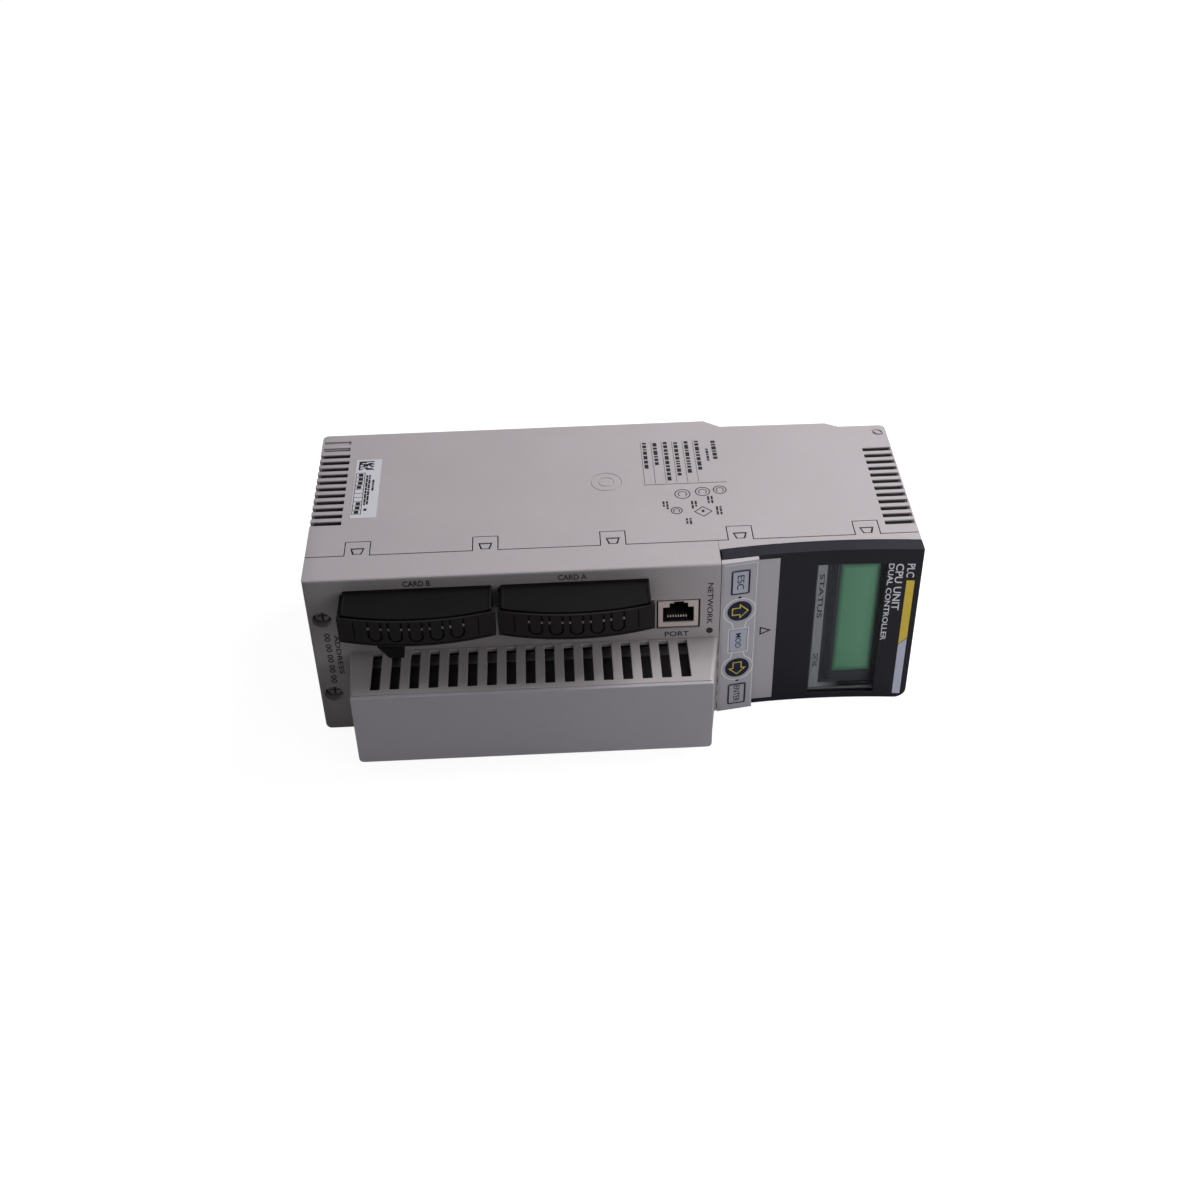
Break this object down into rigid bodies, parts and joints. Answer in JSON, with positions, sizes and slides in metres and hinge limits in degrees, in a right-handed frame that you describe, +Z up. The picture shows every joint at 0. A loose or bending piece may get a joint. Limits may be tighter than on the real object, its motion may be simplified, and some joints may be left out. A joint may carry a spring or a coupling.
{
  "type": "controller module",
  "caption": "Rack-mounted industrial controller module with sliding lens cover, keypad, display, vented hood, card bays and captive mounting screws.",
  "frame": {"origin": "midway between the axes of the two captive mounting screws, on the rear seating plane that meets the rack", "axes": "+Z up the front face when the module hangs in its rack, +Y back towards the rack along the mounting screws, +X to the right as seen by a person facing the front"},
  "size_m": [0.0816, 0.1385, 0.25],
  "materials": {
    "case_grey": "fine satin texture",
    "dark_plastic": "satin",
    "lens_black": "semi-gloss",
    "clear_lens": "clear",
    "lcd_green": "satin film",
    "keypad_film": "printed film",
    "key_navy": "printed film",
    "board_green": "solder mask",
    "chip_black": "moulded",
    "tin_steel": "plated",
    "screw_steel": "zinc plated",
    "sink_aluminium": "extruded",
    "contact_gold": "gold flash",
    "rubber_grey": "moulded",
    "label_white": "printed film",
    "lamp_clear": "tinted",
    "battery_wrap": "sleeved"
  },
  "bodies": {
    "module": {"rear_housing": "case_grey", "front_bezel": "case_grey", "display_frame": "case_grey", "vent_hood": "case_grey", "hood_panel": "case_grey", "heat_sink": "sink_aluminium", "main_board": "board_green", "rack_connector": "dark_plastic", "rack_contacts": "contact_gold", "port_board": "board_green", "processor_chip": "chip_black", "capacitor_1": "tin_steel", "capacitor_2": "tin_steel", "display_board": "board_green", "jack_shield": "tin_steel", "jack_body": "dark_plastic", "jack_contacts": "contact_gold", "status_light": "lamp_clear", "card_cage_a": "tin_steel", "card_cage_b": "tin_steel", "card_socket_a": "dark_plastic", "card_socket_b": "dark_plastic", "screw_stop_left": "tin_steel", "screw_stop_right": "tin_steel", "display_bezel": "tin_steel", "lcd_frame": "dark_plastic", "lcd_glass": "lcd_green", "keypad_block": "case_grey", "key_light_left": "lamp_clear", "key_light_right": "lamp_clear", "key_mat": "rubber_grey", "key_switch_body": "dark_plastic", "reset_switch": "dark_plastic", "battery_holder": "dark_plastic", "battery_cell": "battery_wrap", "side_label": "label_white", "rack_hook_left": "case_grey", "rack_hook_right": "case_grey"},
    "lens": {"lens_cover": "lens_black", "lens_pane": "clear_lens", "lens_grip": "case_grey"},
    "card_cover_a": {"card_cover_a_sleeve": "dark_plastic", "card_cover_a_cap": "dark_plastic", "card_cover_a_grip": "dark_plastic"},
    "card_cover_b": {"card_cover_b_sleeve": "dark_plastic", "card_cover_b_cap": "dark_plastic", "card_cover_b_grip": "dark_plastic"},
    "escape_key": {"key_escape": "keypad_film"},
    "up_key": {"key_up": "key_navy"},
    "mode_key": {"key_mode": "keypad_film"},
    "right_key": {"key_right": "key_navy"},
    "enter_key": {"key_enter": "keypad_film"},
    "key_switch_rotor": {"key_rotor": "tin_steel"},
    "reset_plunger": {"reset_button": "dark_plastic"},
    "collar_left": {"screw_collar_left": "tin_steel"},
    "collar_right": {"screw_collar_right": "tin_steel"},
    "screw_left": {"captive_screw_left": "screw_steel"},
    "screw_right": {"captive_screw_right": "screw_steel"}
  },
  "joints": [
    {"name": "lens_slide_up", "type": "hinge", "parent": "module", "child": "lens", "pos_m": [0, -0.4481, 0.2072], "axis": [1, 0, 0], "range_deg": [0, 4.5]},
    {"name": "card_cover_a_pull", "type": "slide", "parent": "module", "child": "card_cover_a", "axis": [0, -1, 0], "range_m": [0, 0.035]},
    {"name": "card_cover_b_pull", "type": "slide", "parent": "module", "child": "card_cover_b", "axis": [0, -1, 0], "range_m": [0, 0.035]},
    {"name": "escape_key_press", "type": "slide", "parent": "module", "child": "escape_key", "axis": [0, 1, 0], "range_m": [0, 0.0005], "stiffness_N_per_m": 2000},
    {"name": "up_key_press", "type": "slide", "parent": "module", "child": "up_key", "axis": [0, 1, 0], "range_m": [0, 0.0005], "stiffness_N_per_m": 2000},
    {"name": "mode_key_press", "type": "slide", "parent": "module", "child": "mode_key", "axis": [0, 1, 0], "range_m": [0, 0.0005], "stiffness_N_per_m": 2000},
    {"name": "right_key_press", "type": "slide", "parent": "module", "child": "right_key", "axis": [0, 1, 0], "range_m": [0, 0.0005], "stiffness_N_per_m": 2000},
    {"name": "enter_key_press", "type": "slide", "parent": "module", "child": "enter_key", "axis": [0, 1, 0], "range_m": [0, 0.0005], "stiffness_N_per_m": 2000},
    {"name": "key_switch_turn", "type": "hinge", "parent": "module", "child": "key_switch_rotor", "pos_m": [-0.024, -0.0937, 0.1892], "axis": [0, 1, 0], "range_deg": [0, 90]},
    {"name": "reset_press", "type": "slide", "parent": "module", "child": "reset_plunger", "axis": [0, 1, 0], "range_m": [0, 0.001], "stiffness_N_per_m": 800},
    {"name": "screw_travel_left", "type": "slide", "parent": "module", "child": "collar_left", "axis": [0, -1, 0], "range_m": [0, 0.0059]},
    {"name": "screw_turn_left", "type": "hinge", "parent": "collar_left", "child": "screw_left", "pos_m": [-0.02032, -0.05, 0], "axis": [0, -1, 0], "continuous": true},
    {"name": "screw_travel_right", "type": "slide", "parent": "module", "child": "collar_right", "axis": [0, -1, 0], "range_m": [0, 0.0059]},
    {"name": "screw_turn_right", "type": "hinge", "parent": "collar_right", "child": "screw_right", "pos_m": [0.02032, -0.05, 0], "axis": [0, -1, 0], "continuous": true}
  ]
}
